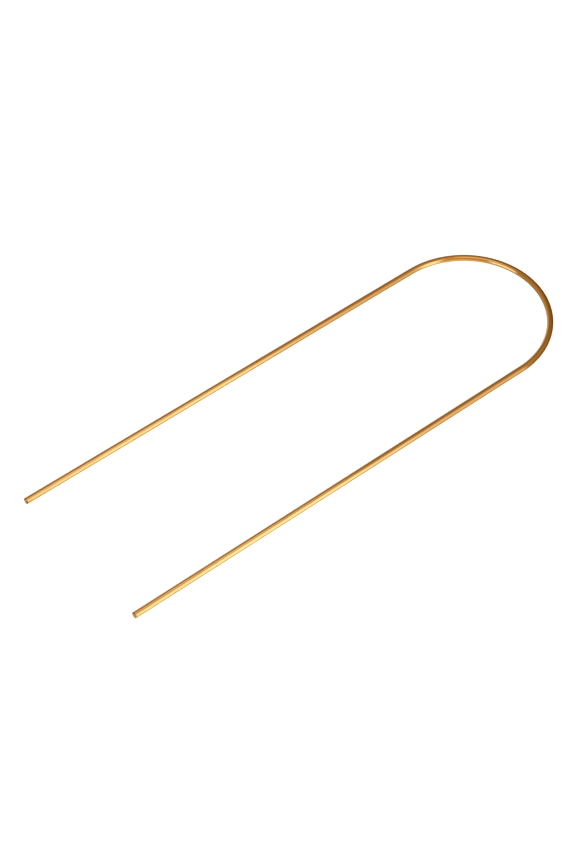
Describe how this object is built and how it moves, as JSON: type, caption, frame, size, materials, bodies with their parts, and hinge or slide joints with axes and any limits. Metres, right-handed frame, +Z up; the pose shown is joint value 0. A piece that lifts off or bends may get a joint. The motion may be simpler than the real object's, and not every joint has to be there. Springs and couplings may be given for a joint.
{
  "type": "cable needle",
  "caption": "U-shaped brass cable needle: one slender round rod bent into two straight parallel legs joined by a half-round bend, with square-cut ends.",
  "frame": {"origin": "on the surface that the needle lies on, under the middle of its outline", "axes": "+X from the open end along the two legs to the bend, +Y from the shorter leg to the longer leg, +Z up, square to the plane of the needle"},
  "size_m": [0.1308, 0.0414, 0.0015],
  "materials": {
    "brass": "drawn round brass rod, polished bright, with faint lengthwise draw lines and a little tarnish at the bend"
  },
  "bodies": {
    "root": {"needle_rod": "brass"}
  },
  "joints": []
}
